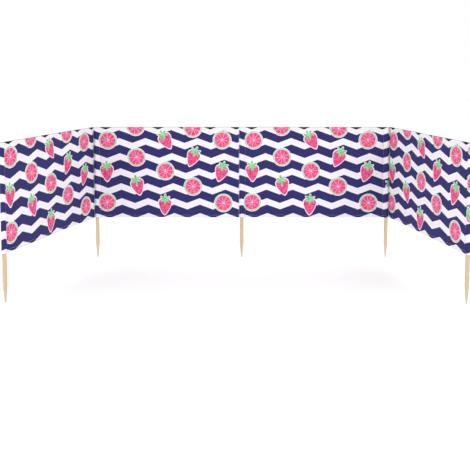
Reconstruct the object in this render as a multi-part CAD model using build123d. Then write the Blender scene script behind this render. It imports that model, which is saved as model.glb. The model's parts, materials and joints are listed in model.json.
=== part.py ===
"""Beach windbreak: four bays of striped cloth on five pointed wooden poles, folded round in a U.

Millimetres, +Z up. The origin is the blunt tip of the middle pole. The two middle bays lie in the
plane Y = 0 and the end bays fold towards -Y. Each bay is sewn beside a pole, and that seam is the
fold: the pole and its sleeve belong to one bay, and the next bay swings on the seam.
"""
from build123d import *
from math import acos, atan2, cos, hypot, sin
import os

# Poles
pole_pitch = 1250.0        # pole to pole along the cloth
pole_radius = 16.0
exposed_length = 350.0     # from the tip to the bottom edge of the cloth
point_length = 82.0        # turned point that goes into the sand
tip_radius = 3.0           # the point is cut off blunt
end_chamfer = 1.5

# Cloth
cloth_height = 785.0
cloth_thickness = 1.2
hem_ply = 1.0              # each turned-over ply of a hem
hem_depth = 22.0

# Sleeves, the pockets that the poles stand in
sleeve_clearance = 0.3     # pole to sleeve, all round and above
sleeve_wall = 1.2
stitch_reach = 33.0        # pole axis to the stitch line on the side of its own bay
closing_height = 22.0      # the sleeve is drawn flat above the pole over this height
flat_gap = 0.3             # half of what stays open where the sleeve is drawn flat

# Folds, the seams that the bays swing on
seam_reach = 24.0          # pole axis to the fold line beside it
bead_radius = 1.0          # the seam's rolled edge
fold_gap = 0.3             # bead to sleeve
hem_setback = 3.5          # a hem stops this far from the fold line
left_fold = 70.9           # end bays, degrees from straight
right_fold = 76.4

# Worked out from the sizes above
cloth_half = cloth_thickness / 2
hem_half = cloth_half + hem_ply
cloth_bottom = exposed_length
cloth_top = cloth_bottom + cloth_height
closing_top = cloth_top - hem_depth
closing_bottom = closing_top - closing_height
pole_top = closing_bottom - sleeve_clearance
bore_radius = pole_radius + sleeve_clearance
sleeve_radius = bore_radius + sleeve_wall
seam_end = seam_reach - bead_radius - fold_gap

# Poles 1 to 5 from the left, and which side of each its own bay lies
pole_x = {1: -2 * pole_pitch, 2: -pole_pitch, 3: 0.0, 4: pole_pitch, 5: 2 * pole_pitch}
bay_side = {1: 1, 2: 1, 3: 1, 4: -1, 5: -1}
end_poles = (1, 5)

# Fold lines beside poles 2, 3 and 4
left_seam = pole_x[2] - seam_reach
middle_seam = pole_x[3] - seam_reach
right_seam = pole_x[4] + seam_reach


def swing(x, angle):
    """The turn about the upright line through (x, 0)."""
    return Pos(x, 0, 0) * Rot(0, 0, angle) * Pos(-x, 0, 0)


# Where each bay, with its pole and sleeve, stands in the folded windbreak
stand = {1: swing(left_seam, left_fold), 2: Pos(0, 0, 0), 3: Pos(0, 0, 0), 4: swing(right_seam, -right_fold)}
bay_of_pole = {1: 1, 2: 2, 3: 3, 4: 3, 5: 4}


def pole():
    """Round pole, turned to a blunt point below and eased at its sawn top."""
    outline = Polyline(
        (0, 0),
        (tip_radius, 0),
        (pole_radius, point_length),
        (pole_radius, pole_top - end_chamfer),
        (pole_radius - end_chamfer, pole_top),
        (0, pole_top),
        close=True,
    )
    return revolve(Plane.XZ * make_face(outline), Axis.Z)


def tangent_angle(radius, reach, half):
    """Angle from X of the radius that meets the straight side running to (reach, half)."""
    return atan2(half, reach) + acos(radius / hypot(reach, half))


def eye(radius, stitch, seam, half):
    """Flat outline of cloth drawn round a circle to a narrow end at X = stitch, and one at X = -seam.

    Each end is 2 * half wide, or a point. With no seam the cloth just goes round the circle.
    """
    angle = tangent_angle(radius, stitch, half)
    near = (radius * cos(angle), radius * sin(angle))
    edges = []
    for side in (1, -1):
        edges.append(Line((stitch, side * half), (near[0], side * near[1])))
        if seam:
            turn = tangent_angle(radius, seam, half)
            far = (-radius * cos(turn), radius * sin(turn))
            edges.append(ThreePointArc((near[0], side * near[1]), (0, side * radius), (far[0], side * far[1])))
            edges.append(Line((far[0], side * far[1]), (-seam, side * half)))
    if not seam:
        edges.append(ThreePointArc(near, (-radius, 0), (near[0], -near[1])))
    if half:
        edges += [Line((x, half), (x, -half)) for x in (stitch, -seam) if x]
    return make_face(edges)


def cavity_reach(reach):
    """How far the space inside a sleeve runs towards an end at this reach, its walls being even."""
    return bore_radius / cos(tangent_angle(sleeve_radius, reach, cloth_half)) if reach else 0


def prism(outline, low, high):
    """The outline stood up between two heights."""
    return extrude(Pos(0, 0, low) * outline, high - low)


def sleeve(number):
    """Pocket of cloth round one pole, drawn flat and sewn shut above it, with a turned-over mouth."""
    seam = 0 if number in end_poles else seam_end
    hollow = (cavity_reach(stitch_reach), cavity_reach(seam), 0)
    outside = eye(sleeve_radius, stitch_reach, seam, cloth_half)
    flat = eye(hem_half, stitch_reach, seam, cloth_half)
    mouth = eye(sleeve_radius + hem_ply, stitch_reach, seam, cloth_half)
    inside = eye(bore_radius, *hollow)
    flat_inside = eye(flat_gap, *hollow)
    body = prism(outside, cloth_bottom, closing_bottom) + prism(mouth, cloth_bottom, cloth_bottom + hem_depth)
    body += loft([Pos(0, 0, closing_bottom) * outside, Pos(0, 0, closing_top) * flat], ruled=True)
    body += prism(flat, closing_top, cloth_top)
    body -= prism(inside, cloth_bottom, closing_bottom)
    body -= loft([Pos(0, 0, closing_bottom) * inside, Pos(0, 0, closing_top) * flat_inside], ruled=True)
    return body


def hem(length):
    """Strip of cloth turned over an edge: a channel open downwards, its top at Z = 0, along +X."""
    fold = ThreePointArc((-hem_half, -hem_half), (0, 0), (hem_half, -hem_half))
    plies = Polyline(
        (hem_half, -hem_half),
        (hem_half, -hem_depth),
        (cloth_half, -hem_depth),
        (cloth_half, -hem_ply),
        (-cloth_half, -hem_ply),
        (-cloth_half, -hem_depth),
        (-hem_half, -hem_depth),
        (-hem_half, -hem_half),
    )
    outline = make_face([fold, plies])
    return extrude(Plane.YZ * outline, length)


# Each bay's cloth runs between a stitch line, at its own pole, and a fold line or another stitch line
stitch_x = {number: x + bay_side[number] * stitch_reach for number, x in pole_x.items()}
bay_ends = {
    1: (stitch_x[1], left_seam),
    2: (stitch_x[2], middle_seam),
    3: (stitch_x[3], stitch_x[4]),
    4: (right_seam, stitch_x[5]),
}
fold_lines = (left_seam, middle_seam, right_seam)


def bay_cloth(number):
    """One bay's sheet, with the rolled edge of the seam along its fold line."""
    start, end = bay_ends[number]
    height = cloth_height - 2 * hem_ply
    level = cloth_bottom + cloth_height / 2
    sheet = Pos((start + end) / 2, 0, level) * Box(end - start, cloth_thickness, height)
    for x in bay_ends[number]:
        if x in fold_lines:
            sheet += Pos(x, 0, level) * Cylinder(bead_radius, height)
    return sheet


def bay_hem(number, top):
    """The hem along one bay's top or bottom edge, stopping short of its fold line."""
    start, end = bay_ends[number]
    start += hem_setback if start in fold_lines else 0
    end -= hem_setback if end in fold_lines else 0
    strip = hem(end - start)
    if top:
        return Pos(start, 0, cloth_top) * strip
    return Pos(start, 0, cloth_bottom) * Rot(180, 0, 0) * strip


os.makedirs("parts", exist_ok=True)
for number, x in pole_x.items():
    place = stand[bay_of_pole[number]] * Pos(x, 0, 0)
    turn = Rot(0, 0, 0 if bay_side[number] > 0 else 180)
    export_step(place * pole(), f"parts/pole_{number}.step")
    export_step(place * turn * sleeve(number), f"parts/sleeve_{number}.step")
for number in bay_ends:
    export_step(stand[number] * bay_cloth(number), f"parts/bay_{number}_cloth.step")
    export_step(stand[number] * bay_hem(number, True), f"parts/top_hem_{number}.step")
    export_step(stand[number] * bay_hem(number, False), f"parts/bottom_hem_{number}.step")
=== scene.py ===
"""Beach windbreak: printed cloth in four bays on five pointed pine poles, standing in a U."""
import json
from math import pi, radians

import bpy
import numpy as np
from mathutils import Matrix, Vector


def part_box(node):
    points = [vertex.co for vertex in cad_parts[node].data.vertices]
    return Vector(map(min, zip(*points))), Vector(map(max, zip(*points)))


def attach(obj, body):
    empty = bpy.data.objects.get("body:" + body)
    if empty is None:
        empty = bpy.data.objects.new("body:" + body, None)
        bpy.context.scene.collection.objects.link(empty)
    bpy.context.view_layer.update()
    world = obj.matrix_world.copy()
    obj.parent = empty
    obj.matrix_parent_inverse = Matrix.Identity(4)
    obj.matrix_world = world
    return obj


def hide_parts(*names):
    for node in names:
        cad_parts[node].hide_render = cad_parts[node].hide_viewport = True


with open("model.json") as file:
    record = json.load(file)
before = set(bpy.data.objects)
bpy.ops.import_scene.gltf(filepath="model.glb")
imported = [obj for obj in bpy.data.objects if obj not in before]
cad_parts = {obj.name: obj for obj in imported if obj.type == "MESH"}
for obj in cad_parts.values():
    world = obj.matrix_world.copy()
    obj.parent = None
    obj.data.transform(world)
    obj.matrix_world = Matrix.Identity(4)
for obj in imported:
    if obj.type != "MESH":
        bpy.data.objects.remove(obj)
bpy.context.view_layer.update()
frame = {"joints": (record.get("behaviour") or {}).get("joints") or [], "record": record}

picture_width = 470                     # pixels of the photograph
focal_pixels = 696
camera_place = (-0.058, -5.941, 1.680)
camera_dip = 4.84                       # degrees below level
lens_shift = -0.24                      # of the picture's width
light_aim = Vector((0, 0, 0.5))
floor_size = 60.0

scene = bpy.context.scene
camera = bpy.data.objects.new("camera", bpy.data.cameras.new("camera"))
scene.collection.objects.link(camera)
camera.data.sensor_width = 36
camera.data.lens = camera.data.sensor_width * focal_pixels / picture_width
camera.data.shift_y = lens_shift
camera.location = camera_place
camera.rotation_euler = (radians(90 - camera_dip), 0, 0)
scene.camera = camera
scene.view_settings.view_transform = "Standard"


def linear(code):
    """An sRGB hex colour as linear red, green, blue and alpha."""
    parts = [int(code[i:i + 2], 16) / 255 for i in (0, 2, 4)]
    return (*[c / 12.92 if c <= 0.04045 else ((c + 0.055) / 1.055) ** 2.4 for c in parts], 1)


def new_material(name):
    """A new material, its node tree and its Principled shader."""
    material = bpy.data.materials.new(name)
    material.use_nodes = True
    return material, material.node_tree, material.node_tree.nodes["Principled BSDF"]


for name, place, size, watts in (
    ("key_softbox", (4.5, -4.5, 4.5), 3.0, 82),
    ("fill_softbox", (-5.5, -4.0, 3.0), 4.0, 65),
    ("back_softbox", (2.0, 6.0, 4.5), 3.0, 110),
):
    data = bpy.data.lights.new(name, "AREA")
    data.size = size
    data.energy = watts
    lamp = bpy.data.objects.new(name, data)
    lamp.location = place
    lamp.rotation_euler = (light_aim - Vector(place)).to_track_quat("-Z", "Y").to_euler()
    scene.collection.objects.link(lamp)
world = bpy.data.worlds.new("white_room")
world.use_nodes = True
world.node_tree.nodes["Background"].inputs["Color"].default_value = linear("FFFFFF")
world.node_tree.nodes["Background"].inputs["Strength"].default_value = 1.0
scene.world = world

reach = floor_size / 2
floor_mesh = bpy.data.meshes.new("floor")
floor_mesh.from_pydata([(-reach, -reach, 0), (reach, -reach, 0), (reach, reach, 0), (-reach, reach, 0)], [],
                       [(0, 1, 2, 3)])
floor = bpy.data.objects.new("floor", floor_mesh)
scene.collection.objects.link(floor)
floor_paint, _, floor_shader = new_material("matt_white_paint")
floor_shader.inputs["Base Color"].default_value = linear("FFFFFF")
floor_shader.inputs["Roughness"].default_value = 0.9
floor_mesh.materials.append(floor_paint)

# Poles
# Round pine, turned to a long blunt point below and left bare. Planed softwood is satin and straw
# coloured, with darker late-wood lines along the grain that run out in long Vs on the point.
MM = 0.001
pole_radius = 16 * MM
point_length = 127 * MM
point_end = 5.0 * MM                    # radius of the point's blunt end
end_round = 1.2 * MM                    # round of that end's edge
top_bevel = 1.5 * MM
ring_width = 4.5 * MM                   # one late-wood line to the next
wave_unit = 2 * pi / 20                 # one line to the next of a Wave node at a scale of 1
line_drift = (7, 7, 1.1)                # pace of the lines' drift, across the grain and along it
line_sway = (30 * MM, 22 * MM, 0)       # how far that drift can carry them
line_stretch = (1, 0.4, 0.02)           # they hardly change along the grain
fibres_per_metre = (700, 700, 14)       # 1.4 mm apart, coarser than real ones so that they show
early_wood = linear("E0CDB1")
late_wood = linear("BE9C72")


def add(tree, kind, inputs=(), out=0, **settings):
    """Adds one shader node with its settings and links, and gives one of its outputs.

    kind is its type, with a maths node's operation after it, as in "Math ADD". inputs are values
    or sockets, in order, or by name or number. A Mix node of colours has its share at input 0, its
    two colours at 6 and 7, and their mixture at output 2.
    """
    kind, _, operation = kind.partition(" ")
    node = tree.nodes.new("ShaderNode" + kind)
    if operation:
        node.operation = operation
    for name, value in settings.items():
        setattr(node, name, value)
    for key, value in inputs.items() if isinstance(inputs, dict) else enumerate(inputs):
        if isinstance(value, bpy.types.NodeSocket):
            tree.links.new(value, node.inputs[key])
        else:
            node.inputs[key].default_value = value
    return node.outputs[out]


pine, tree, shader = new_material("planed_pine")
spot = add(tree, "TexCoord", out="Object")
drift = add(tree, "TexNoise", {"Vector": add(tree, "Mapping", {"Vector": spot, "Scale": line_drift}),
                               "Detail": 3.0})
sway = add(tree, "VectorMath MULTIPLY", (add(tree, "CombineXYZ", (drift, drift)), line_sway))
bent = add(tree, "VectorMath ADD", (add(tree, "Mapping", {"Vector": spot, "Scale": line_stretch}), sway))
rings = add(tree, "TexWave", {"Vector": bent, "Scale": wave_unit / ring_width, "Distortion": 0.6}, out="Fac",
            wave_profile="SAW")
fibre = add(tree, "TexNoise", {"Vector": add(tree, "Mapping", {"Vector": spot, "Scale": fibres_per_metre}),
                               "Scale": 1.0, "Detail": 2.0})
grain = add(tree, "Math MULTIPLY_ADD", (rings, 0.6, add(tree, "Math MULTIPLY", (fibre, 0.4))))
tone = add(tree, "MapRange", {"Value": grain, "From Min": 0.15, "From Max": 0.85})
wood_colour = add(tree, "Mix", {0: tone, 6: early_wood, 7: late_wood}, out=2, data_type="RGBA")
tree.links.new(wood_colour, shader.inputs["Base Color"])
shader.inputs["Roughness"].default_value = 0.55
wood_relief = add(tree, "Bump", {"Strength": 0.3, "Distance": 0.3 * MM, "Height": fibre})
tree.links.new(wood_relief, shader.inputs["Normal"])


def pole_centre(number):
    """The axis of a pole, seen from above."""
    low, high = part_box(f"pole_{number}")
    return np.array([(low.x + high.x) / 2, (low.y + high.y) / 2])


def turned_pole(name, centre, length, sides=48):
    """A pole standing at height 0: an outline turned about its axis, with a fan to close each end.

    The outline is a quarter round at the blunt end, a radius that grows evenly with the height up
    the point, one that stays the same up the shaft, and a bevel. At turn t it lies at its radius
    times the cosine and the sine of t from the axis.
    """
    corner = np.linspace(0, pi / 2, 6)
    outline = np.concatenate([
        np.stack([point_end - end_round * (1 - np.sin(corner)), end_round * (1 - np.cos(corner))], axis=-1),
        np.linspace((point_end, end_round), (pole_radius, point_length), 24)[1:],
        np.linspace((pole_radius, point_length), (pole_radius, length - top_bevel), 40)[1:],
        [(pole_radius - top_bevel, length)],
    ])
    turn = np.arange(sides) * 2 * pi / sides
    radius, z = outline[:, :1], outline[:, 1:]
    x = centre[0] + radius * np.cos(turn)
    y = centre[1] + radius * np.sin(turn)
    skin = np.stack([x, y, z + 0 * turn], axis=-1)
    points = np.concatenate([skin.reshape(-1, 3), [(*centre, 0), (*centre, length)]])
    ring = np.arange(len(outline) * sides).reshape(-1, sides)
    after = np.roll(ring, -1, axis=1)
    around = np.stack([ring[:-1], after[:-1], after[1:], ring[1:]], axis=-1).reshape(-1, 4)
    foot = np.stack([0 * ring[0] + len(points) - 2, after[0], ring[0]], axis=-1)
    top = np.stack([0 * ring[0] + len(points) - 1, ring[-1], after[-1]], axis=-1)
    mesh = bpy.data.meshes.new(name)
    mesh.from_pydata(points.tolist(), [], around.tolist() + foot.tolist() + top.tolist())
    mesh.polygons.foreach_set("use_smooth", np.ones(len(mesh.polygons), bool))
    mesh.materials.append(pine)
    mesh.update()
    piece = bpy.data.objects.new(name, mesh)
    scene.collection.objects.link(piece)
    return piece


body_of_node = {
    node: body for body, nodes in frame["record"]["behaviour"]["bodies"].items() for node in nodes
}
for number in range(1, 6):
    node = f"pole_{number}"
    piece = turned_pole(f"{node}_wood", pole_centre(number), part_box(node)[1].z)
    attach(piece, body_of_node[node])
    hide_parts(node)

# Lie of the cloth
# Four bays of cloth are sewn end to end. Each runs from the seam or end pole on its left to the one
# on its right. On it, a is the way along from that left end, b stands out of the printed face, and
# z is the height.
cloth_low, cloth_high = (corner.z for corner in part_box("sleeve_3"))
cloth_height = cloth_high - cloth_low
cloth_thickness = 0.5 * MM
sleeve_ease = 0.6 * MM                  # what a sleeve's radius has over its pole and its own cloth
sleeve_radius = pole_radius + sleeve_ease + cloth_thickness
stitch_reach = 33 * MM                  # pole axis to the stitch line beside it
seam_reach = 24 * MM                    # pole axis to the fold beside it
hem_depth = 22 * MM
hem_setback = 3.5 * MM                  # a hem stops this far from the fold
billow_depth = 7 * MM
crease_depth = 1.6 * MM                 # of the slanting creases beside the sleeves
ripple_depth = 1.2 * MM                 # of the soft ripples all over a bay
fold_place = {joint["name"]: np.array(joint["pos_m"][:2]) for joint in frame["joints"]}
bay_line = {
    1: (pole_centre(1), fold_place["left_fold"]),
    2: (fold_place["left_fold"], fold_place["middle_fold"]),
    3: (fold_place["middle_fold"], fold_place["right_fold"]),
    4: (fold_place["right_fold"], pole_centre(5)),
}
end_poles = (1, 5)

# Each bay's poles, and the side of each on which its sheet lies: 1 right, -1 left
poles_of_bay = {1: ((1, 1),), 2: ((2, 1),), 3: ((3, 1), (4, -1)), 4: ((5, -1),)}


class Bay:
    """One bay's own directions and where its sheet and its hems start and stop."""

    def __init__(self, number):
        first, last = bay_line[number]
        self.number = number
        self.body = body_of_node[f"bay_{number}_cloth"]
        self.along = (last - first) / np.linalg.norm(last - first)
        self.front = np.array([self.along[1], -self.along[0]])
        self.origin = first
        self.length = float(np.linalg.norm(last - first))
        self.sheet_start = {1: stitch_reach, 4: 0.0}.get(number, seam_reach + stitch_reach)
        self.sheet_end = self.length - {3: seam_reach + stitch_reach, 4: stitch_reach}.get(number, 0.0)
        self.hem_start = self.sheet_start + (hem_setback if number == 4 else 0)
        self.hem_end = self.sheet_end - (hem_setback if number in (1, 2) else 0)

    def place(self, a, b, z):
        """Points at a along the bay, b in front of it and z up, as an array of x, y and z."""
        a, b, z = np.broadcast_arrays(a, b, z)
        flat = self.origin + a[..., None] * self.along + b[..., None] * self.front
        return np.concatenate([flat, z[..., None]], axis=-1)

    def drape(self, a, z):
        """How far the sheet stands out of its plane.

        A slow wave across the bay, deepest towards the top and least below the middle, with
        slanting creases that fade away from each end and soft ripples that slant the other way.
        Each is a sine, with another phase in each bay, and all are nothing where the sheet is held.
        """
        s = (a - self.sheet_start) / (self.sheet_end - self.sheet_start)
        t = (z - cloth_low) / cloth_height
        n = self.number
        held = np.sin(pi * np.clip(s, 0, 1))
        swell = 0.55 + 0.45 * np.cos(2 * pi * t + 0.4 * n)
        billow = billow_depth * held ** 0.8 * np.sin(2.1 * pi * s + n) * swell
        edge = np.exp(-s * 9) + np.exp(-(1 - s) * 9)
        crease = crease_depth * edge * np.minimum(1, held * 6) * np.sin(2 * pi * (t * 6.5 + s * 9 + 0.3 * n))
        ripple = ripple_depth * np.minimum(1, held * 3) * np.sin(2 * pi * (s * 3.3 - t * 1.7) + 2 * n)
        return billow + crease + ripple


bays = {number: Bay(number) for number in bay_line}


def cloth_mesh(name, body, middle, print_at, thickness=cloth_thickness):
    """A thin closed sheet about a grid of points, with its print coordinates.

    The face stands half the thickness along the cross product of the grid's two directions, the
    reverse as far the other way, and four strips close the edges.
    """
    normal = np.cross(np.gradient(middle, axis=0), np.gradient(middle, axis=1))
    normal /= np.linalg.norm(normal, axis=-1, keepdims=True)
    rows, columns = middle.shape[:2]
    points = np.concatenate([(middle + normal * thickness / 2).reshape(-1, 3),
                             (middle - normal * thickness / 2).reshape(-1, 3)])
    face = np.arange(rows * columns).reshape(rows, columns)
    back = face + rows * columns

    def quads(p, q, r, s):
        return np.stack([p, q, r, s], axis=-1).reshape(-1, 4)

    front_faces = quads(face[:-1, :-1], face[1:, :-1], face[1:, 1:], face[:-1, 1:])
    faces = np.concatenate([
        front_faces,
        quads(back[:-1, :-1], back[:-1, 1:], back[1:, 1:], back[1:, :-1]),
        quads(face[0, :-1], face[0, 1:], back[0, 1:], back[0, :-1]),
        quads(face[-1, :-1], back[-1, :-1], back[-1, 1:], face[-1, 1:]),
        quads(face[:-1, 0], back[:-1, 0], back[1:, 0], face[1:, 0]),
        quads(face[:-1, -1], face[1:, -1], back[1:, -1], back[:-1, -1]),
    ])
    mesh = bpy.data.meshes.new(name)
    mesh.from_pydata(points.tolist(), [], faces.tolist())
    layer = mesh.uv_layers.new(name="print")
    both_sides = np.concatenate([print_at.reshape(-1, 2)] * 2)
    layer.data.foreach_set("uv", both_sides[faces.reshape(-1)].astype(np.float32).reshape(-1))
    mesh.polygons.foreach_set("use_smooth", np.ones(len(faces), bool))
    mesh.materials.append(printed_face)
    mesh.materials.append(printed_reverse)
    mesh.polygons.foreach_set("material_index", (np.arange(len(faces)) >= len(front_faces)).astype(np.int32))
    mesh.update()
    piece = bpy.data.objects.new(name, mesh)
    scene.collection.objects.link(piece)
    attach(piece, body)
    return piece


# Printed cloth
# Woven polyester, printed on one face with navy zigzag bands, and over them strawberries and slices
# of pink citrus in a half-drop layout. Bare yarn shows through on the paler reverse. Polyester is
# smooth and nearly matt, with a fine even weave.
wave_length = 224 * MM
wave_depth = 42 * MM
band_pitch = 130.7 * MM
band_width = 75 * MM
first_band = 26 * MM                    # top edge of the cloth to the first whole band's peaks
slimmer = 6 * MM                        # what that band lacks of the others' width
tip_depth = 21 * MM                     # how far the band that the top edge cuts hangs below it
skew = 0.033                            # how far the zigzags run out of square, per height of cloth
first_peak = {1: 8 * MM, 2: 17 * MM, 3: 19.5 * MM, 4: -55 * MM}    # left edge of a bay's cloth to a peak
column_width = 250 * MM
row_height = 262 * MM
lowest_row = 131 * MM                   # lower edge of the cloth to the lowest fruit's middle
whole_rows = 3                          # rows of fruit below the one that the top edge cuts
column_start = 20 * MM                  # left edge of the first column to that first peak
stray = (30 * MM, 44 * MM)              # width and height of the field that a fruit's middle is in
turn_range = 2.6                        # radians between the furthest turns of a fruit
fruit_seed = 3.0                        # settles where in its field each fruit is, and its turn
blots_per_metre = 38.0                  # 26 mm apart, where the ink has taken unevenly
slice_rings = (81 * MM, 75.5 * MM, 68.5 * MM, 65 * MM)    # outer radii of halo, rind, pith and pulp
segments = 9                            # of a slice
rib_edge = 5.5 * MM                     # the radius times the spokes' sine, at a rib's edge
flesh_form = (-85 * MM, 55 * MM, 73 * MM)    # low, high and width, as berry_outline takes them
halo_form = (-94 * MM, 64 * MM, 82 * MM)
seeded_form = (-74 * MM, 45 * MM, 60 * MM)
glint_form = (-50 * MM, 36 * MM, 34 * MM)
glint_left = 17 * MM                    # its distance from the strawberry's middle
glint_from = 0.62                       # how far the ink's unevenness has to go for it
seed_pitch = (19 * MM, 23 * MM)
seed_size = 0.16                        # radius, as a share of their pitch
stalk_place = (0, 49 * MM, 0)           # where the sepals meet
sepals = 6
sepal_length = 29 * MM
cap_radii = (15 * MM, 21 * MM)          # of the cap between the sepals, and of its halo
crest = 2.2 * MM                        # strip along each turned edge, greyed as painted shade of the fold
rumples_per_metre = 14.0                # 70 mm apart
weave_pitch = 1.6 * MM                  # real yarns are about 0.4 mm apart, too fine to show
navy = linear("2A2967")
fold_shaded_navy = linear("161029")         # navy darkened as painted shade of the top fold, on the band tips that the top edge cuts
bare_white = linear("EEEAEF")
reverse_white = linear("E2DEE8")
flesh_tones = (linear("DA2C6D"), linear("EC74A3"))
leaf_tones = (linear("62BE78"), linear("A0D8A8"))
rib_pink = linear("F4C9D9")
seed_red = linear("A1144C")
# the next grey is painted shade of the folds along the top and bottom edges
fold_shade_grey = linear("8E8B94")


def berry_outline(tree, x, y, low, high, width):
    """1 inside a strawberry's outline, which has its small end down.

    Its half width is width * t ** 0.62 * sqrt(1 - t ** 5), t running from 0 at low to 1 at high.
    """
    t = add(tree, "MapRange", {"Value": y, "From Min": low, "From Max": high})
    remainder = add(tree, "Math SUBTRACT", (1.0, add(tree, "Math POWER", (t, 5.0))))
    shoulder = add(tree, "Math SQRT", (remainder,))
    flank = add(tree, "Math MULTIPLY", (add(tree, "Math POWER", (t, 0.62)), width))
    return add(tree, "Math LESS_THAN", (add(tree, "Math ABSOLUTE", (x,)),
                                        add(tree, "Math MULTIPLY", (shoulder, flank))))


def overprint(tree, ground, layers):
    """Colours laid one over another, each where its mask is 1."""
    for colour, mask in layers:
        ground = add(tree, "Mix", {0: mask, 6: ground, 7: colour}, out=2, data_type="RGBA")
    return ground


def fruit_place(tree, u, v):
    """Each fruit's own x and y, with whether it is there and whether it is a strawberry.

    The cloth is cut into columns and rows, every second column half a row lower, and in each cell
    the fruit is shifted and turned by chance. The kind changes with every row and every second
    column, but what the top edge cuts is always a slice. The lower edge cuts none: where it would,
    there is no fruit.
    """
    across = add(tree, "Math DIVIDE", (add(tree, "Math ADD", (u, column_start)), column_width))
    column = add(tree, "Math FLOOR", (across,))
    odd = add(tree, "Math FLOORED_MODULO", (column, 2.0))
    level = add(tree, "Math MULTIPLY_ADD", (odd, row_height / 2, v))
    up = add(tree, "Math DIVIDE", (add(tree, "Math ADD", (level, row_height / 2 - lowest_row)), row_height))
    row = add(tree, "Math FLOOR", (up,))
    there = add(tree, "Math GREATER_THAN", (row, add(tree, "Math SUBTRACT", (odd, 0.5))))
    toss = add(tree, "TexWhiteNoise", (add(tree, "CombineXYZ", (column, row, fruit_seed)),), out="Color")
    chance = add(tree, "SeparateColor", (toss,)).node.outputs
    x, y = (
        add(tree, "Math MULTIPLY_ADD", (
            add(tree, "Math SUBTRACT", (add(tree, "Math FRACT", (share,)), 0.5)), size,
            add(tree, "Math MULTIPLY", (add(tree, "Math SUBTRACT", (chance[k], 0.5)), stray[k]))))
        for k, (share, size) in enumerate(((across, column_width), (up, row_height)))
    )
    tilt = add(tree, "Math MULTIPLY", (add(tree, "Math SUBTRACT", (chance[2], 0.5)), turn_range))
    turned = add(tree, "VectorRotate", {"Vector": add(tree, "CombineXYZ", (x, y, 0.0)), "Angle": tilt},
                 rotation_type="Z_AXIS")
    pair = add(tree, "Math FLOOR", (add(tree, "Math DIVIDE", (column, 2.0)),))
    other = add(tree, "Math FLOORED_MODULO", (add(tree, "Math ADD", (pair, row)), 2.0))
    uncut = add(tree, "Math LESS_THAN", (row, whole_rows - 0.5))
    berry = add(tree, "Math MULTIPLY", (other, uncut))
    return turned, there, berry


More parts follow.
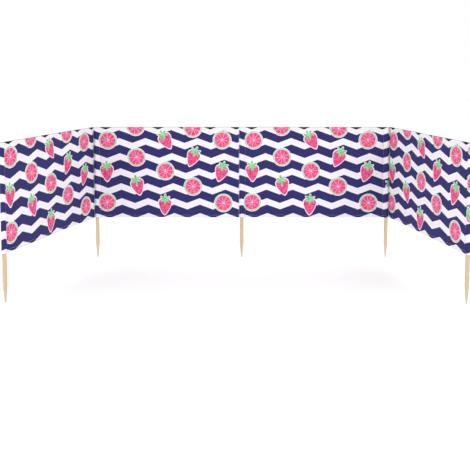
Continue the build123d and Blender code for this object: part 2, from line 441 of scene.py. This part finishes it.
def print_colour(tree, uv):
    """The whole print, on the cloth's own u, along it from a peak, and v, up from its lower edge, with
    painted fold shade.
    """
    u, v = add(tree, "SeparateXYZ", (uv,)).node.outputs[:2]
    above_middle = add(tree, "Math SUBTRACT", (v, cloth_height / 2))
    askew = add(tree, "Math MULTIPLY_ADD", (above_middle, skew, u))
    zigzag = add(tree, "Math MULTIPLY", (add(tree, "Math PINGPONG", (askew, wave_length / 2)),
                                         2 * wave_depth / wave_length))
    depth = add(tree, "Math SUBTRACT", (cloth_height - first_band + slimmer,
                                        add(tree, "Math ADD", (v, zigzag))))
    band = add(tree, "Math MULTIPLY", (
        add(tree, "Math LESS_THAN", (add(tree, "Math FLOORED_MODULO", (depth, band_pitch)), band_width)),
        add(tree, "Math GREATER_THAN", (depth, slimmer))))
    from_top = add(tree, "Math ABSOLUTE", (add(tree, "Math SUBTRACT", (v, cloth_height)),))
    tip = add(tree, "Math LESS_THAN", (add(tree, "Math SUBTRACT", (from_top, zigzag)),
                                       tip_depth - wave_depth))
    # the cut band's tips along the top edge take the darker navy, as painted shade of the fold
    ground = overprint(tree, bare_white, [(navy, band), (fold_shaded_navy, tip)])

    place, there, berry = fruit_place(tree, u, v)
    x, y = add(tree, "SeparateXYZ", (place,)).node.outputs[:2]
    wash = add(tree, "TexNoise", {"Vector": uv, "Scale": blots_per_metre, "Detail": 4.0, "Roughness": 0.6})
    flesh, leaf = (
        add(tree, "Mix", {0: add(tree, "MapRange", {"Value": wash, "From Min": low, "From Max": high}),
                          6: tones[0], 7: tones[1]}, out=2, data_type="RGBA")
        for tones, low, high in ((flesh_tones, 0.35, 0.68), (leaf_tones, 0.40, 0.60))
    )

    radius = add(tree, "VectorMath LENGTH", (place,), out="Value")
    around = add(tree, "Math MULTIPLY", (add(tree, "Math ARCTAN2", (y, x)), segments / 2))
    spoke = add(tree, "Math ABSOLUTE", (add(tree, "Math SINE", (around,)),))
    rib = add(tree, "Math LESS_THAN", (add(tree, "Math MULTIPLY", (spoke, radius)), rib_edge))
    halo, rind, pith, pulp = (add(tree, "Math LESS_THAN", (radius, size)) for size in slice_rings)
    slice_print = overprint(tree, ground, [
        (bare_white, halo), (leaf, rind), (bare_white, pith), (flesh, pulp),
        (rib_pink, add(tree, "Math MULTIPLY", (rib, pulp))),
    ])

    stalk = add(tree, "VectorMath SUBTRACT", (place, stalk_place))
    stalk_x, stalk_y = add(tree, "SeparateXYZ", (stalk,)).node.outputs[:2]
    spread = add(tree, "VectorMath LENGTH", (stalk,), out="Value")
    fan = add(tree, "Math MULTIPLY", (add(tree, "Math ARCTAN2", (stalk_x, stalk_y)), sepals / 2))
    sepal = add(tree, "Math POWER", (add(tree, "Math ABSOLUTE", (add(tree, "Math COSINE", (fan,)),)), 1.4))
    cap, cap_halo = (
        add(tree, "Math LESS_THAN", (spread, add(tree, "Math MULTIPLY_ADD", (sepal, sepal_length, size))))
        for size in cap_radii
    )
    seeds_at = add(tree, "Mapping", {"Vector": place, "Scale": (1 / seed_pitch[0], 1 / seed_pitch[1], 0)})
    seed_gap = add(tree, "TexVoronoi", {"Vector": seeds_at, "Scale": 1.0, "Randomness": 0.35},
                   voronoi_dimensions="2D")
    seed = add(tree, "Math MULTIPLY", (add(tree, "Math LESS_THAN", (seed_gap, seed_size)),
                                       berry_outline(tree, x, y, *seeded_form)))
    glint_x = add(tree, "Math ADD", (x, glint_left))
    glint = add(tree, "Math MULTIPLY", (add(tree, "Math GREATER_THAN", (wash, glint_from)),
                                        berry_outline(tree, glint_x, y, *glint_form)))
    berry_halo = add(tree, "Math MAXIMUM", (berry_outline(tree, x, y, *halo_form), cap_halo))
    berry_print = overprint(tree, ground, [
        (bare_white, berry_halo), (flesh, berry_outline(tree, x, y, *flesh_form)),
        (rib_pink, glint), (seed_red, seed), (leaf, cap),
    ])

    fruit = overprint(tree, slice_print, [(berry_print, berry)])
    colour = overprint(tree, ground, [(fruit, there)])
    # painted shade: a grey strip multiplied in along the turned top and bottom edges, as shade of the folds
    from_middle = add(tree, "Math ABSOLUTE", (above_middle,))
    from_edge = add(tree, "Math ABSOLUTE", (add(tree, "Math SUBTRACT", (from_middle, cloth_height / 2)),))
    painted_fold_shade = add(tree, "Math LESS_THAN", (from_edge, crest))
    return add(tree, "Mix", {0: painted_fold_shade, 6: colour, 7: fold_shade_grey}, out=2, data_type="RGBA",
               blend_type="MULTIPLY")


def printed_cloth(name, fade):
    """Polyester with the print, faded by a share towards bare white yarn, and its weave in relief."""
    material, tree, shader = new_material(name)
    uv = add(tree, "UVMap", uv_map="print")
    colour = print_colour(tree, uv)
    if fade:
        strong = add(tree, "HueSaturation", {"Saturation": 1.35, "Color": colour})
        colour = overprint(tree, strong, [(reverse_white, fade)])
    tree.links.new(colour, shader.inputs["Base Color"])
    shader.inputs["Roughness"].default_value = 0.75
    shader.inputs["Specular IOR Level"].default_value = 0.25
    shader.inputs["Sheen Weight"].default_value = 0.03
    shader.inputs["Sheen Roughness"].default_value = 0.4
    weave = {"Vector": uv, "Scale": wave_unit / weave_pitch}
    warp, weft = (add(tree, "TexWave", weave, out="Fac", bands_direction=way) for way in "XY")
    rumple = add(tree, "TexNoise", {"Vector": uv, "Scale": rumples_per_metre, "Detail": 3.0,
                                    "Distortion": 0.4})
    relief = add(tree, "Bump", {"Strength": 0.35, "Distance": 2.5 * MM, "Height": rumple})
    relief = add(tree, "Bump", {"Strength": 0.25, "Distance": 0.15 * MM, "Normal": relief,
                                "Height": add(tree, "Math MULTIPLY", (warp, weft))})
    tree.links.new(relief, shader.inputs["Normal"])
    return material


printed_face = printed_cloth("printed_polyester", fade=0)
printed_reverse = printed_cloth("printed_polyester_reverse", fade=0.24)

# Sleeves
# Pockets of the same cloth sewn round each pole: the cloth leaves the stitch line, wraps the pole
# and comes back to it, drawn out to the fold on the seam side, and is gathered flat above the pole.
gather_height = 22 * MM
seam_half_gap = 1.55 * MM               # fold line to the middle of the sleeve's edge
mouth_ply = 0.6 * MM                    # what the turned-over mouth adds
ply_gap = 0.45 * MM                     # middle of each ply from the middle of the flat strip
slack_depth = 0.7 * MM                  # mean slack of the cloth round the pole
stitch_ease = 8 * MM                    # the slack dies away over this last stretch to the stitches
seam_ease = 5 * MM                      # and over this one to the seam
pleat_pitch = 13 * MM
pleat_depth = 0.8 * MM


def half_outline(seam):
    """Half of a sleeve seen from above, from the stitch line round to the far end, and its length.

    Straight from the stitch line to the circle round the pole, along that circle, and straight
    again to the seam, or half way round where there is no seam.
    """
    far = seam_reach - seam_half_gap
    first = np.arccos(sleeve_radius / stitch_reach)
    last = pi - np.arccos(sleeve_radius / far) if seam else pi
    turn = np.linspace(first, last, 90)
    wrap = sleeve_radius * np.stack([np.cos(turn), np.sin(turn)], axis=-1)
    path = np.concatenate([[[stitch_reach, 0]], wrap, [[-far, 0]] if seam else np.zeros((0, 2))])
    steps = np.concatenate([[0], np.cumsum(np.linalg.norm(np.diff(path, axis=0), axis=1))])
    even = np.linspace(0, steps[-1], 37)
    return np.stack([np.interp(even, steps, path[:, k]) for k in (0, 1)], axis=-1), float(steps[-1])


def sleeve_form(number, side, loop, z):
    """A sleeve's cloth at each point of its loop and each height, from the pole's axis.

    It stands a little slack of the pole between its held edges, more at the turned-over mouth, and
    over the gather its depth eases to a flat, pleated strip.
    """
    angle = np.arctan2(loop[:, 1], loop[:, 0])[:, None]
    toward = side * loop[:, :1]
    free = np.clip((stitch_reach - toward) / stitch_ease, 0, 1)
    if number not in end_poles:
        free = free * np.clip((seam_reach - seam_half_gap + toward) / seam_ease, 0, 1)
    slack = slack_depth * (1 + 0.6 * np.sin(z * 47 + 2 * angle + number)
                           + 0.4 * np.sin(z * 118 - 3 * angle + number))
    out = free * (slack + mouth_ply * (z < cloth_low + hem_depth))
    rise = np.clip((z - (cloth_high - hem_depth - gather_height)) / gather_height, 0, 1)
    ease = rise * rise * (3 - 2 * rise)
    a = loop[:, :1] + out * np.cos(angle)
    pleat = ease * free * np.sin(a * 2 * pi / pleat_pitch + number) * pleat_depth * (1 - rise / 2)
    flat = np.sign(loop[:, 1:]) * ply_gap
    b = (loop[:, 1:] + out * np.sin(angle)) * (1 - ease) + flat * ease + pleat
    return a, b


sleeve_heights = np.concatenate([
    np.linspace(cloth_low, cloth_low + hem_depth - 0.1 * MM, 8),
    np.linspace(cloth_low + hem_depth, cloth_high - hem_depth - gather_height, 110),
    np.linspace(cloth_high - hem_depth - gather_height, cloth_high, 26)[1:],
])[None, :]
sheet_print = {}                        # u where each bay's sheet starts
sleeve_of = {}                          # each sleeve's half outline, and its pole's a
for bay in bays.values():
    sheet_print[bay.number] = -first_peak[bay.number]
    for number, side in poles_of_bay[bay.number]:
        half, girth = half_outline(number not in end_poles)
        half = half * (side, 1)
        centre = float(np.dot(pole_centre(number) - bay.origin, bay.along))
        if side > 0:
            loop = np.concatenate([half * (1, -1), half[-2::-1]])
            u = np.linspace(-girth, girth, len(loop)) + sheet_print[bay.number]
            sheet_print[bay.number] += girth
        else:
            loop = np.concatenate([half, half[-2::-1] * (1, -1)])
            stitch_u = centre - stitch_reach - bay.sheet_start + sheet_print[bay.number]
            u = stitch_u + np.linspace(0, 2 * girth, len(loop))
        a, b = sleeve_form(number, side, loop, sleeve_heights)
        middle = bay.place(centre + a, b, sleeve_heights)
        print_at = np.stack(np.broadcast_arrays(u[:, None], sleeve_heights - cloth_low), axis=-1)
        piece = cloth_mesh(f"sleeve_{number}_cloth", bay.body, middle, print_at)
        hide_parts(f"sleeve_{number}")
        sleeve_of[number] = (half, centre)

# Bays
# One sheet of the printed cloth for each, pulled fairly flat between its poles: it billows a few
# millimetres and creases slightly where the sleeves hold it.
tuck = 1 * MM                           # the sheet's edge inside the turned hem
for bay in bays.values():
    a = np.linspace(bay.sheet_start, bay.sheet_end, 150)[:, None]
    z = np.linspace(cloth_low + tuck, cloth_high - tuck, 90)[None, :]
    middle = bay.place(a, bay.drape(a, z), z)
    u = a - bay.sheet_start + sheet_print[bay.number]
    print_at = np.stack(np.broadcast_arrays(u, z - cloth_low), axis=-1)
    cloth_mesh(f"bay_{bay.number}_sheet", bay.body, middle, print_at)
    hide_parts(f"bay_{bay.number}_cloth")

# Hems
# The sheet's upper and lower edges, turned over once and stitched down, so that each is a soft
# flat roll with small puckers along it. They stop short of the folds.
hem_roll = 0.9 * MM                     # half the thickness of the turned edge
hem_pressed = 0.55 * MM                 # the same where the stitches hold it down
hem_stitch = 3 * MM                     # the stitches' distance from the hem's raw edge
hem_puff = 0.3 * MM                     # how far a ply fills out between the fold and the stitches
pucker_pitch = 19 * MM
falling = np.linspace(1, hem_roll / hem_depth, 9) * hem_depth
over = np.linspace(-pi / 2, pi / 2, 7)[1:-1]
hem_fall = np.concatenate([falling, hem_roll * (1 - np.cos(over)), falling[::-1]])[:, None]
hem_side = np.concatenate([-np.ones_like(falling), np.sin(over), np.ones_like(falling)])[:, None]


def hem_stand(a, fall):
    """How far a hem's ply stands off the sheet's middle.

    Full at the fold, pressed flat at the stitches by the square of the way down, with puckers
    between them.
    """
    share = np.clip(fall / (hem_depth - hem_stitch), 0, 1)
    pucker = 1 + 0.45 * np.sin(a * 2 * pi / pucker_pitch + 2 * np.sin(a * 23)) * np.sin(pi * share)
    return hem_pressed + (hem_roll - hem_pressed) * (1 - share ** 2) * pucker + hem_puff * np.sin(pi * share)


trim = {number: [] for number in bays}  # the pieces that go with each bay's sheet
for bay in bays.values():
    a = np.linspace(bay.hem_start, bay.hem_end, 280)[None, :]
    stand = hem_side * hem_stand(a, np.where(np.abs(hem_side) < 1, 0, hem_fall))
    for edge, level, up in (("top", cloth_high, 1), ("bottom", cloth_low, -1)):
        z = level - up * hem_fall + 0 * a
        b = bay.drape(a, np.clip(z, cloth_low + tuck, cloth_high - tuck)) + up * stand
        u = a - bay.sheet_start + sheet_print[bay.number] + 0 * z
        v = np.where(up * stand < 0, 2 * level - z, z) - cloth_low
        print_at = np.stack([u, v], axis=-1)
        piece = cloth_mesh(f"{edge}_hem_{bay.number}_fold", bay.body, bay.place(a, b, z), print_at)
        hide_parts(f"{edge}_hem_{bay.number}")
        trim[bay.number].append(piece)

# Seams
# The folds: the edge of a bay's sheet, rolled up tightly and sewn to the next bay's sleeve. The
# thread draws small even ridges into the roll.
seam_radius = 0.75 * MM                 # to the middle of the cloth
ridge_pitch = 5 * MM
for joint, number in (("left_fold", 1), ("middle_fold", 2), ("right_fold", 4)):
    bay = bays[number]
    seam_a = 0.0 if number == 4 else bay.length
    turn = np.linspace(0, 2 * pi - 0.4, 12)[:, None]
    z = np.linspace(cloth_low + tuck, cloth_high - tuck, 640)[None, :]
    radius = seam_radius * (0.9 + 0.1 * np.sin(2 * pi * z / ridge_pitch + turn))
    middle = bay.place(seam_a + radius * np.cos(turn), -radius * np.sin(turn), z)
    seam_u = seam_a - bay.sheet_start + sheet_print[number]
    print_at = np.stack(np.broadcast_arrays(seam_u + seam_radius * turn, z - cloth_low), axis=-1)
    piece = cloth_mesh(f"{joint}_seam_roll", bay.body, middle, print_at)
    trim[number].append(piece)

# Stitching
# Polyester thread, off-white and slightly glossy, in lockstitches of about 3 mm, drawn a little
# coarser so that they show. Hems, sleeves, mouths and seams are each sewn through, so both faces
# show a row.
stitch_pitch = 5.0 * MM
stitch_length = 3.8 * MM
stitch_radius = 0.42 * MM
thread_ply = 0.8 * MM                   # one twist of the thread to the next
stitch_inset = 1.8 * MM                 # a row's distance from the edge that it holds
proud = cloth_thickness / 2 + 0.1 * MM  # a thread's middle above the middle of its cloth
thread, tree, shader = new_material("polyester_thread")
shader.inputs["Base Color"].default_value = linear("DCD8DE")
shader.inputs["Roughness"].default_value = 0.4
shader.inputs["Sheen Weight"].default_value = 0.2
ply = add(tree, "TexNoise", {"Vector": add(tree, "TexCoord", out="Object"), "Scale": 1 / thread_ply,
                             "Detail": 1.0})
twist = add(tree, "Bump", {"Strength": 0.4, "Distance": 0.1 * MM, "Height": ply})
tree.links.new(twist, shader.inputs["Normal"])

# One stitch, a spindle along x: a tip, two belts of six points and another tip
belt_turn = np.arange(6) * pi / 3
belt = np.stack([0 * belt_turn, np.cos(belt_turn), np.sin(belt_turn)], axis=-1) * stitch_radius
stitch_form = np.concatenate([[(-stitch_length / 2, 0, 0)], belt - (stitch_length / 3, 0, 0),
                              belt + (stitch_length / 3, 0, 0), [(stitch_length / 2, 0, 0)]])
first_belt, second_belt = np.arange(1, len(stitch_form) - 1).reshape(2, -1)
first_after, second_after = np.roll(first_belt, -1), np.roll(second_belt, -1)
first_tip = 0 * first_belt
second_tip = first_tip + len(stitch_form) - 1
stitch_sides = np.stack([first_belt, first_after, second_after, second_belt], axis=-1)
stitch_tips = np.concatenate([np.stack([first_tip, first_after, first_belt], axis=-1),
                              np.stack([second_tip, second_belt, second_after], axis=-1)])


def sew(bay, rows):
    """Every stitch of one bay as one piece.

    A row gives its line as a, b and z, and the way it faces as shares of a and b. Each stitch is a
    six-sided spindle along the line, set out at an even pitch.
    """
    sewn = []
    for a, b, z, face_a, face_b in rows:
        line = bay.place(a, b, z)
        facing = bay.place(face_a + 0 * a, face_b + 0 * a, 0 * a) - bay.place(0, 0, 0)
        run = np.concatenate([[0], np.cumsum(np.linalg.norm(np.diff(line, axis=0), axis=1))])
        spots = np.arange(stitch_pitch / 2, run[-1] - stitch_length / 2, stitch_pitch)

        def at(values, where):
            return np.stack([np.interp(where, run, values[:, k]) for k in range(3)], axis=-1)

        along = at(line, spots + MM) - at(line, spots - MM)
        along /= np.linalg.norm(along, axis=1, keepdims=True)
        out = at(facing, spots)
        out -= along * np.sum(out * along, axis=1, keepdims=True)
        out /= np.linalg.norm(out, axis=1, keepdims=True)
        axes = np.stack([along, out, np.cross(along, out)], axis=1)
        sewn.append(at(line, spots)[:, None, :] + stitch_form @ axes)
    points = np.concatenate(sewn)
    step = len(stitch_form) * np.arange(len(points))[:, None, None]
    faces = (stitch_sides + step).reshape(-1, 4).tolist() + (stitch_tips + step).reshape(-1, 3).tolist()
    mesh = bpy.data.meshes.new(f"bay_{bay.number}_stitching")
    mesh.from_pydata(points.reshape(-1, 3).tolist(), [], faces)
    mesh.polygons.foreach_set("use_smooth", np.ones(len(faces), bool))
    mesh.materials.append(thread)
    mesh.update()
    piece = bpy.data.objects.new(mesh.name, mesh)
    scene.collection.objects.link(piece)
    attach(piece, bay.body)
    return piece


for bay in bays.values():
    rows = []
    a = np.linspace(bay.hem_start + tuck, bay.hem_end - tuck, 400)
    upright = np.linspace(cloth_low + hem_stitch, cloth_high - hem_stitch, 300)
    hem_rows = (cloth_low + hem_depth - hem_stitch, cloth_high - hem_depth + hem_stitch)
    for face in (1, -1):
        for level in hem_rows:
            b = bay.drape(a, level) + face * (hem_pressed + proud)
            rows.append((a, b, level + 0 * a, 0, face))
        for number, side in poles_of_bay[bay.number]:
            half, centre = sleeve_of[number]
            held = [half[1] * (1, face)]
            if number not in end_poles:
                held.append(half[-2] * (1, face))
            for spot in held:
                across, deep = sleeve_form(number, side, spot[None, :], upright[None, :])
                rows.append((centre + across[0], deep[0] + face * proud, upright, 0, face))
            for level in hem_rows:
                across, deep = sleeve_form(number, side, half * (1, face), np.full((1, 1), level))
                tangent = np.gradient(np.concatenate([across, deep], axis=1), axis=0)
                tangent *= -side * face / np.linalg.norm(tangent, axis=1, keepdims=True)
                out_a, out_b = -tangent[:, 1], tangent[:, 0]
                rows.append((centre + across[:, 0] + proud * out_a, deep[:, 0] + proud * out_b,
                             np.full(len(half), level), out_a, out_b))
        if bay.number != 3:
            beside = stitch_inset if bay.number == 4 else bay.length - stitch_inset
            b = bay.drape(beside, upright) + face * proud
            rows.append((beside + 0 * upright, b, upright, 0, face))
    trim[bay.number].append(sew(bay, rows))
